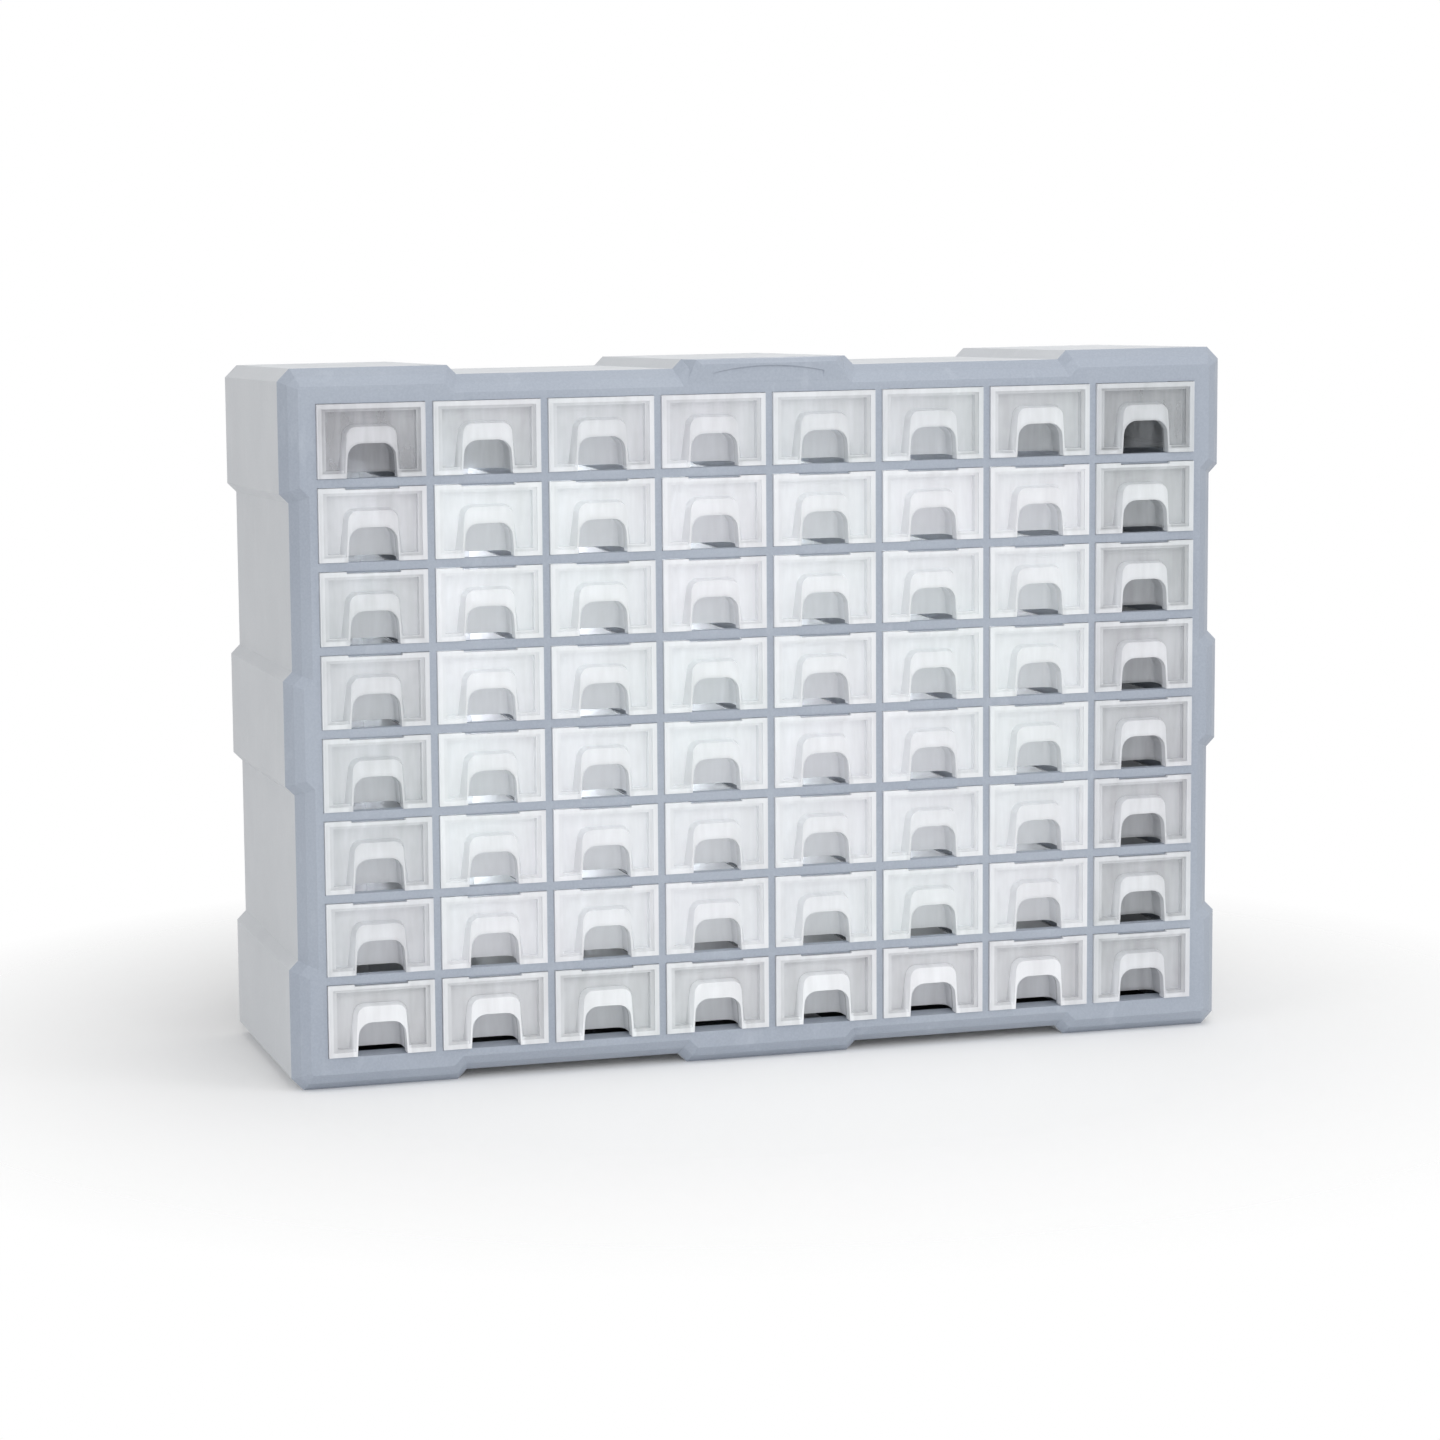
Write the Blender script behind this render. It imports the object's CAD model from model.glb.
"""Parts cabinet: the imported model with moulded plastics, soft studio light and the photograph's camera."""
import math

import bmesh
import bpy
from mathutils import Matrix, Vector

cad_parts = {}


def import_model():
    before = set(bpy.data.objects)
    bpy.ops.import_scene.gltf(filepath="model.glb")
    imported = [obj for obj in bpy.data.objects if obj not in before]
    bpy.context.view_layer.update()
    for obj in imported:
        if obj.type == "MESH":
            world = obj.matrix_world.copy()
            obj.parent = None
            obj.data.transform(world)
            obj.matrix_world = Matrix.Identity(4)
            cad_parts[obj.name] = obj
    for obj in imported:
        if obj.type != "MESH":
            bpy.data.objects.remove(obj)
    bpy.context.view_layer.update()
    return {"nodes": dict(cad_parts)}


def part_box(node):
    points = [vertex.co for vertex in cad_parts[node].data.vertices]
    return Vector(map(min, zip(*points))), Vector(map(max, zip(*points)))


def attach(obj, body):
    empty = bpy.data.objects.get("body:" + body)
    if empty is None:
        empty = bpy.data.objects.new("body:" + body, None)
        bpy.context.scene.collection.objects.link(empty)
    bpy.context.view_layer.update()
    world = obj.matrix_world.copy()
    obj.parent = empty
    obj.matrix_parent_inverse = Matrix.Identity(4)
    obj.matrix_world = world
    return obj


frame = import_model()
nodes = frame["nodes"]

# ---- the grid of drawers, measured in the frame ----

rows = columns = 8
first_low, first_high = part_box("drawer_r1_c1")
last_low, last_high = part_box("drawer_r8_c8")
drawer_front, drawer_foot = first_low.y, last_low.z
front_w, front_h = first_high.x - first_low.x, first_high.z - first_low.z
pitch_x = (last_low.x - first_low.x) / (columns - 1)
pitch_z = (first_low.z - last_low.z) / (rows - 1)
grid_face = drawer_front + 0.0015  # the drawers stand out of the grid by this much


def linear(rgb):
    """sRGB values from 0 to 255 as a linear colour."""
    out = []
    for v in rgb:
        v = v / 255
        out.append(v / 12.92 if v <= 0.04045 else ((v + 0.055) / 1.055) ** 2.4)
    return (*out, 1.0)


# ---- materials ----


class Shader:
    """A material's node tree, built with short calls. A value given to one of them, or returned by it, is
    a number, a colour or a (node, output) pair."""

    def __init__(self, name, blend=False):
        self.material = bpy.data.materials.new(name)
        self.material.use_nodes = True
        self.tree = self.material.node_tree
        self.tree.nodes.clear()
        self.main = self.node("ShaderNodeBsdfPrincipled")
        self.put((self.main, "BSDF"), self.node("ShaderNodeOutputMaterial"), "Surface")
        if blend:
            self.material.surface_render_method = "BLENDED"
        self.here = (self.node("ShaderNodeTexCoord"), "Object")

    def node(self, kind):
        return self.tree.nodes.new(kind)

    def put(self, value, node, into):
        """Gives a value to a node's input."""
        if isinstance(value, tuple) and isinstance(value[0], bpy.types.Node):
            self.tree.links.new(value[0].outputs[value[1]], node.inputs[into])
        else:
            node.inputs[into].default_value = value

    def look(self, values):
        """Gives values to inputs of the main shader."""
        for into, value in values.items():
            self.put(value, self.main, into)

    def split(self, vector):
        """The node that has a vector's X, Y and Z as its outputs."""
        made = self.node("ShaderNodeSeparateXYZ")
        self.put(vector, made, "Vector")
        return made

    def noise(self, scale, detail, rough, seed, stretch=(1, 1, 1)):
        place = self.node("ShaderNodeMapping")
        self.put(self.here, place, "Vector")
        self.put(stretch, place, "Scale")
        self.put((seed, seed * 0.7, -seed), place, "Location")
        made = self.node("ShaderNodeTexNoise")
        self.put((place, "Vector"), made, "Vector")
        self.put(scale, made, "Scale")
        self.put(detail, made, "Detail")
        self.put(rough, made, "Roughness")
        return made, "Fac"

    def remap(self, value, low, high, to_low=0, to_high=1):
        made = self.node("ShaderNodeMapRange")
        made.clamp = True
        self.put(value, made, "Value")
        self.put(low, made, "From Min")
        self.put(high, made, "From Max")
        self.put(to_low, made, "To Min")
        self.put(to_high, made, "To Max")
        return made, "Result"

    def math(self, kind, a, b=0):
        made = self.node("ShaderNodeMath")
        made.operation = kind
        self.put(a, made, 0)
        self.put(b, made, 1)
        return made, "Value"

    def mix(self, factor, a, b):
        """Mixes two colours."""
        made = self.node("ShaderNodeMix")
        made.data_type = "RGBA"
        factor_in, first_in, second_in, colour_out = 0, 6, 7, 2
        self.put(factor, made, factor_in)
        self.put(a, made, first_in)
        self.put(b, made, second_in)
        return made, colour_out

    def bump(self, height, strength, distance, under=None):
        made = self.node("ShaderNodeBump")
        self.put(height, made, "Height")
        self.put(strength, made, "Strength")
        self.put(distance, made, "Distance")
        if under:
            self.put(under, made, "Normal")
        return made, "Normal"


def lower_inside(s, height):
    """A mask of the faces that look up and lie below a height: the case's inner floor."""
    soft = 0.001
    normal = s.split((s.node("ShaderNodeNewGeometry"), "True Normal"))
    upward = s.remap((normal, "Z"), 0.8, 0.9)
    low = s.remap((s.split(s.here), "Z"), height - soft, height, 1, 0)
    return s.math("MULTIPLY", upward, low)


def opaque_plastic(name, colour, light, dark, grain, roughness, seed, shade_below=None):
    """Moulded plastic: a cloudy tone from the melt, fine spark-eroded grain, and faint scuffs from handling.

    Where shade_below is given, the floor inside is nearly black, as the photograph shows it."""
    s = Shader(name)
    tone = s.remap(s.noise(9, 3, 0.55, seed), 0.3, 0.7)
    fleck = s.remap(s.noise(900, 2, 0.6, seed + 1), 0.35, 0.65, 0, 0.16)
    scuff = s.remap(s.noise(70, 4, 0.65, seed + 2, stretch=(1, 1, 0.35)), 0.58, 0.74, 0, 0.30)
    cloudy = s.mix(tone, linear(dark), linear(colour))
    worn = s.mix(scuff, s.mix(fleck, cloudy, linear(light)), linear(light))
    if shade_below:
        worn = s.mix(lower_inside(s, shade_below), worn, linear((34, 35, 40)))
    smear = s.remap(s.noise(26, 4, 0.65, seed + 3), 0.3, 0.7, roughness - 0.07, roughness + 0.08)
    wavy = s.bump(s.noise(14, 1, 0.4, seed + 4), 0.25, 0.0012)
    s.look({
        "Base Color": worn,
        "Roughness": s.math("ADD", smear, s.math("MULTIPLY", scuff, 0.3)),
        "Specular IOR Level": 0.4,
        "Normal": s.bump(s.noise(grain, 2, 0.6, seed + 5), 0.35, 0.00012, wavy)})
    return s.material


def drawer_places(s):
    """Where a point of any drawer lies: its distance from the middle of its column and its height above its
    opening's foot, both in pitches of the grid, and its depth in metres."""
    place = s.split(s.here)
    turns = s.math("ADD", s.math("DIVIDE", (place, "X"), pitch_x), columns)
    across = s.math("ABSOLUTE", s.math("SUBTRACT", s.math("FRACT", turns), 0.5))
    floors = s.math("DIVIDE", s.math("SUBTRACT", (place, "Z"), drawer_foot), pitch_z)
    up = s.math("FRACT", s.math("ADD", floors, rows))
    return across, up, (place, "Y")


def rim_mask(s, across, up, depth):
    """A mask of the front's outer rim, and faintly of the whole face, which is thicker than the walls."""
    rim_w, soft = 0.0022, 0.0008
    rim_depth, rim_end = 0.0031, 0.0040
    face_depth, face_end, face_share = 0.0006, 0.0016, 0.4
    half_w = front_w / 2 - rim_w
    side = s.remap(across, (half_w - soft) / pitch_x, half_w / pitch_x)
    under = s.remap(up, rim_w / pitch_z, (rim_w + soft) / pitch_z, 1, 0)
    over = s.remap(up, (front_h - rim_w - soft) / pitch_z, (front_h - rim_w) / pitch_z)
    border = s.math("MAXIMUM", side, s.math("MAXIMUM", under, over))
    near = s.remap(depth, drawer_front + rim_depth, drawer_front + rim_end, 1, 0)
    face = s.remap(depth, drawer_front + face_depth, drawer_front + face_end, face_share, 0)
    return s.math("MAXIMUM", s.math("MULTIPLY", border, near), face)


def pull_masks(s, across, up, depth):
    """A mask of the finger pull, without the window beside it, and how far a point lies in its pocket.

    The hood reaches from the drawer's face to the window, and the pocket from the window to its back."""
    half_w, half_w_end = 0.0148, 0.0160
    top, top_end = 0.0270, 0.0276
    back, back_end = drawer_front + 0.0205, drawer_front + 0.0215
    window, window_half_t = drawer_front + 0.0061, 0.0010
    soft, pocket_soft = 0.0001, 0.0004
    beside = s.remap(across, half_w / pitch_x, half_w_end / pitch_x, 1, 0)
    below = s.remap(up, top / pitch_z, top_end / pitch_z, 1, 0)
    ahead = s.remap(depth, back, back_end, 1, 0)
    from_window = s.math("ABSOLUTE", s.math("SUBTRACT", depth, window))
    off_window = s.remap(from_window, window_half_t - soft, window_half_t)
    pull = s.math("MULTIPLY", s.math("MULTIPLY", s.math("MULTIPLY", beside, below), ahead), off_window)
    pocket = s.remap(depth, window, window + pocket_soft)
    return pull, pocket


def drawer_plastic(name, wall, rim, hood, pocket, lamp_share, tint, seed):
    """Frosted plastic. The thicker rim covers more, the melt's clouds vary it, and lamps reach through it.

    wall, rim, hood and pocket give how much each of them hides, and lamp_share is how much of that the
    lamps' light meets."""
    s = Shader(name, blend=True)
    across, up, depth = drawer_places(s)
    cloud = s.noise(34, 3, 0.55, seed)
    flow = s.noise(130, 3, 0.55, seed + 1, stretch=(1, 0.08, 0.16))

    shade = tuple(v - 5 for v in tint)
    gleam = tuple(min(v + 6, 255) for v in tint)
    cloudy = s.mix(s.remap(cloud, 0.3, 0.7), linear(shade), linear(tint))
    hue = s.remap(s.noise(11, 1, 0.4, seed + 6), 0.35, 0.65)
    cast = s.mix(hue, linear((244, 241, 245)), linear((241, 246, 245)))
    streaked = s.mix(s.remap(flow, 0.35, 0.65, 0, 0.3), s.mix(0.35, cloudy, cast), linear(gleam))

    pull, in_pocket = pull_masks(s, across, up, depth)
    pull_cover = s.math("MULTIPLY", pull, s.remap(in_pocket, 0, 1, hood - wall, pocket - wall))
    beside_pull = s.math("SUBTRACT", 1, pull)
    rim_cover = s.math("MULTIPLY", beside_pull, s.remap(rim_mask(s, across, up, depth), 0, 1, 0, rim - wall))
    moulded = s.math("ADD", s.math("ADD", pull_cover, rim_cover), wall)
    veil = s.remap(cloud, 0.3, 0.7, -0.03, 0.03)
    stripe = s.remap(flow, 0.32, 0.68, -0.05, 0.05)
    cover = s.math("ADD", moulded, s.math("ADD", veil, stripe))
    lamp = s.remap((s.node("ShaderNodeLightPath"), "Is Shadow Ray"), 0, 1, 1, lamp_share)

    wavy = s.bump(s.noise(42, 1, 0.4, seed + 3), 0.3, 0.0005)
    s.look({
        "Base Color": streaked,
        "Alpha": s.math("MULTIPLY", cover, lamp),
        "Roughness": s.remap(s.noise(90, 3, 0.6, seed + 2), 0.3, 0.7, 0.28, 0.44),
        "Specular IOR Level": 0.35,
        "Normal": s.bump(s.noise(2200, 2, 0.6, seed + 4), 0.25, 0.00006, wavy)})
    return s.material


def zinc(name):
    """Zinc-plated steel with fine turning marks and a faint yellow cast."""
    s = Shader(name)
    tone = s.remap(s.noise(400, 3, 0.6, 3), 0.3, 0.7)
    s.look({
        "Base Color": s.mix(tone, linear((176, 174, 168)), linear((214, 214, 210))),
        "Metallic": 1.0,
        "Roughness": s.remap(s.noise(900, 3, 0.6, 4), 0.3, 0.7, 0.22, 0.45),
        "Normal": s.bump(s.noise(2600, 2, 0.6, 5), 0.4, 0.00006)})
    return s.material


frame_plastic = opaque_plastic(
    "frame_blue_grey", (163, 171, 183), (193, 200, 209), (155, 163, 176),
    grain=1500, roughness=0.46, seed=1.0)
case_plastic = opaque_plastic(
    "case_light_grey", (206, 209, 213), (223, 225, 228), (200, 203, 207),
    grain=1100, roughness=0.55, seed=7.0, shade_below=0.012)
panel_plastic = opaque_plastic(
    "panel_grey", (186, 189, 193), (208, 211, 214), (178, 181, 186),
    grain=1100, roughness=0.6, seed=13.0)
rail_plastic = opaque_plastic(
    "rail_grey", (150, 156, 165), (176, 182, 190), (142, 148, 158),
    grain=1300, roughness=0.5, seed=19.0)
screw_metal = zinc("screw_zinc")

# Cover of the wall, the rim, the hood and the pocket, the lamps' share of it, and the tint
milky = drawer_plastic("drawer_milky", 0.70, 0.76, 0.68, 0.96, 0.25, (234, 237, 240), seed=2.0)
hazy = drawer_plastic("drawer_hazy", 0.52, 0.68, 0.60, 0.80, 0.32, (232, 235, 239), seed=5.0)
dim = drawer_plastic("drawer_dim", 0.58, 0.74, 0.90, 0.84, 0.95, (237, 240, 243), seed=7.0)
thin = drawer_plastic("drawer_thin", 0.44, 0.64, 0.68, 0.42, 0.50, (235, 238, 242), seed=11.0)
clear = drawer_plastic("drawer_clear", 0.32, 0.58, 0.56, 0.36, 0.65, (230, 233, 238), seed=9.0)
clearer = drawer_plastic("drawer_clearer", 0.32, 0.58, 0.56, 0.08, 0.65, (230, 233, 238), seed=9.0)

# ---- the CAD's nodes ----


def paint(node, material):
    """Gives a CAD node a material."""
    nodes[node].data.materials.clear()
    nodes[node].data.materials.append(material)


def dress(node, material, width, joined=False, smooth=True):
    """Gives a CAD node a material and rounds its moulded edges, after joining its flat faces where asked."""
    paint(node, material)
    add = nodes[node].modifiers.new
    weld = add("weld", "WELD")
    weld.merge_threshold = 0.00001
    if joined:
        flat = add("flat", "DECIMATE")
        flat.decimate_type = "DISSOLVE"
        flat.angle_limit = math.radians(0.4)
    edges = add("edges", "BEVEL")
    edges.width = width
    edges.segments = 2
    edges.limit_method = "ANGLE"
    edges.angle_limit = math.radians(28)
    edges.use_clamp_overlap = True
    edges.miter_outer = "MITER_ARC"
    if smooth:
        normals = add("normals", "WEIGHTED_NORMAL")
        normals.keep_sharp = False
        normals.weight = 60


def drawer_kind(row, column):
    """Which plastic a drawer shows: thinner at the cabinet's edges, where no light stands behind it."""
    if row == 1 and column == 1:
        return clear
    if row == 1 and column == columns:
        return clearer
    if column == columns or (row == 1 and column in (2, columns - 1)):
        return thin
    if row == rows:
        return dim
    return hazy if row == 1 or column == 1 else milky


dress("front_frame", frame_plastic, 0.0005, smooth=False)
dress("outer_case", case_plastic, 0.0005)
# A bevel would leave dark spikes around the panel's holes
paint("back_panel", panel_plastic)
dress("slide_rails", rail_plastic, 0.0003, joined=True)
dress("edge_runners", rail_plastic, 0.0003, joined=True)
dress("back_screws", screw_metal, 0.0003, joined=True)
for name in nodes:
    if name.startswith("drawer_r"):
        row, column = (int(part[1:]) for part in name.split("_")[1:])
        dress(name, drawer_kind(row, column), 0.00035, joined=True)
    elif name.startswith("drawers_row"):
        row, inner_column = int(name.split("_")[2]), 4
        dress(name, drawer_kind(row, inner_column), 0.00035, joined=True)

# ---- gate marks ----


def gate_mark(name, x, z):
    """A small round mark of an injection gate on the grid's face, with a shallow dimple."""
    radius, proud, turns = 0.0010, 0.00012, 28
    profile = ((1, 0), (0.96, -0.6), (0.82, -1), (0.62, -0.9), (0.3, -0.5))
    mesh = bmesh.new()
    rings = []
    for r, rise in profile:
        ring = []
        for i in range(turns):
            a = 2 * math.pi * i / turns
            place = (x + r * radius * math.cos(a), grid_face + rise * proud, z + r * radius * math.sin(a))
            ring.append(mesh.verts.new(place))
        rings.append(ring)
    for outer, inner in zip(rings, rings[1:]):
        for i in range(turns):
            j = (i + 1) % turns
            mesh.faces.new((outer[i], outer[j], inner[j], inner[i]))
    mesh.faces.new(rings[-1])
    mesh.faces.new(tuple(reversed(rings[0])))
    bmesh.ops.recalc_face_normals(mesh, faces=mesh.faces)
    data = bpy.data.meshes.new(name)
    mesh.to_mesh(data)
    mesh.free()
    data.materials.append(frame_plastic)
    o = bpy.data.objects.new(name, data)
    bpy.context.scene.collection.objects.link(o)
    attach(o, "cabinet")


# At crossings of the grid's ribs, to the right of and below the named opening
for column in (2, 4, 6):
    for row in (2, 6):
        x = first_low.x + front_w / 2 + (column - 0.5) * pitch_x
        z = drawer_foot + front_h / 2 + (rows - row - 0.5) * pitch_z
        gate_mark("gate_mark_r%d_c%d" % (row, column), x, z)

# ---- floor, light and camera ----


def floor():
    """A pale floor that keeps the shadow near the object. Beyond it the camera sees the white background,
    while the floor still reflects light from further away."""
    data = bpy.data.meshes.new("floor")
    reach = 6.0
    corners = [(-reach, -reach, 0), (reach, -reach, 0), (reach, reach, 0), (-reach, reach, 0)]
    data.from_pydata(corners, [], [(0, 1, 2, 3)])
    o = bpy.data.objects.new("floor", data)
    bpy.context.scene.collection.objects.link(o)
    s = Shader("floor_white")
    from_middle = s.node("ShaderNodeVectorMath")
    from_middle.operation = "LENGTH"
    s.put(s.here, from_middle, 0)
    lit = s.remap((from_middle, "Value"), 0.55, 1.1, 1, 0)
    seen = s.remap((from_middle, "Value"), 0.29, 0.52, 1, 0)
    unseen = s.math("SUBTRACT", 1, (s.node("ShaderNodeLightPath"), "Is Camera Ray"))
    s.look({
        "Base Color": (0.97, 0.97, 0.97, 1),
        "Roughness": 1.0,
        "Specular IOR Level": 0.0,
        "Alpha": s.math("MINIMUM", lit, s.math("MAXIMUM", seen, unseen))})
    data.materials.append(s.material)


def world(light, seen):
    """A white world that lights with one strength, and is seen, mirrored and seen through with another."""
    made = bpy.data.worlds.new("studio")
    made.use_nodes = True
    tree = made.node_tree
    tree.nodes.clear()
    path = tree.nodes.new("ShaderNodeLightPath")
    looked_at = path.outputs["Is Camera Ray"]
    for ray in ("Is Glossy Ray", "Is Transmission Ray"):
        either = tree.nodes.new("ShaderNodeMath")
        either.operation = "MAXIMUM"
        tree.links.new(looked_at, either.inputs[0])
        tree.links.new(path.outputs[ray], either.inputs[1])
        looked_at = either.outputs[0]
    mix = tree.nodes.new("ShaderNodeMixShader")
    tree.links.new(looked_at, mix.inputs[0])
    for i, strength in ((1, light), (2, seen)):
        shade = tree.nodes.new("ShaderNodeBackground")
        shade.inputs["Color"].default_value = (1, 1, 1, 1)
        shade.inputs["Strength"].default_value = strength
        tree.links.new(shade.outputs[0], mix.inputs[i])
    tree.links.new(mix.outputs[0], tree.nodes.new("ShaderNodeOutputWorld").inputs[0])
    bpy.context.scene.world = made


def softbox(name, place, aim, size, power, hidden=False):
    data = bpy.data.lights.new(name, "AREA")
    data.shape = "RECTANGLE"
    data.size, data.size_y = size
    data.energy = power
    o = bpy.data.objects.new(name, data)
    o.location = place
    o.rotation_mode = "QUATERNION"
    o.rotation_quaternion = (Vector(aim) - Vector(place)).to_track_quat("-Z", "Y")
    if hidden:
        o.visible_camera = o.visible_glossy = o.visible_transmission = False
    bpy.context.scene.collection.objects.link(o)


def camera():
    """The photograph's view, fitted to its grid of openings."""
    focal_px, image_px = 4242, 1440
    yaw, pitch, roll = math.radians(17.30), math.radians(7.98), math.radians(-0.40)
    place = (-0.688, -2.19825, 0.496)
    forward = Vector((math.sin(yaw) * math.cos(pitch), math.cos(yaw) * math.cos(pitch), -math.sin(pitch)))
    right = Vector((math.cos(yaw), -math.sin(yaw), 0))
    up = right.cross(forward)
    right_rolled = right * math.cos(roll) + up * math.sin(roll)
    up_rolled = up * math.cos(roll) - right * math.sin(roll)
    data = bpy.data.cameras.new("camera")
    data.sensor_width = 36
    data.lens = focal_px / image_px * data.sensor_width
    data.clip_start, data.clip_end = 0.05, 40
    o = bpy.data.objects.new("camera", data)
    turn = Matrix((right_rolled, up_rolled, -forward)).transposed()
    o.matrix_world = Matrix.Translation(place) @ turn.to_4x4()
    bpy.context.scene.collection.objects.link(o)
    bpy.context.scene.camera = o


floor()
world(0.56, 1.0)
softbox("key", (-0.3, -2.6, 1.9), (0, 0, 0.18), (1.6, 1.4), 13.5)
softbox("low", (-0.4, -2.5, 0.35), (0, 0, 0.16), (1.8, 0.5), 7.5)
softbox("top", (0.2, -0.3, 2.4), (0, 0, 0.2), (1.8, 1.2), 7.5)
softbox("edge", (0.2, -0.55, 0.95), (0.05, -0.05, 0.36), (0.7, 0.2), 1.05)
softbox("fill", (2.2, -1.8, 1.0), (0, 0, 0.18), (1.2, 1.6), 9.5)
softbox("rear", (0.9, 2.4, 1.2), (0, 0, 0.18), (1.6, 1.2), 4)
softbox("side", (-2.2, -1.1, 0.8), (-0.2, 0, 0.2), (1.2, 1.2), 7)
# Faint light behind the drawers, for what frosted plastic passes on inside the case. It lies just before the
# back panel, looks to the front and leaves the cabinet's edges dark.
inside = Vector((-0.0125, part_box("back_panel")[0].y - 0.0008, 0.190))
softbox("inside", inside, inside - Vector((0, 1, 0)), (0.355, 0.26), 1.6, hidden=True)
camera()

bpy.context.scene.view_settings.view_transform = "Standard"
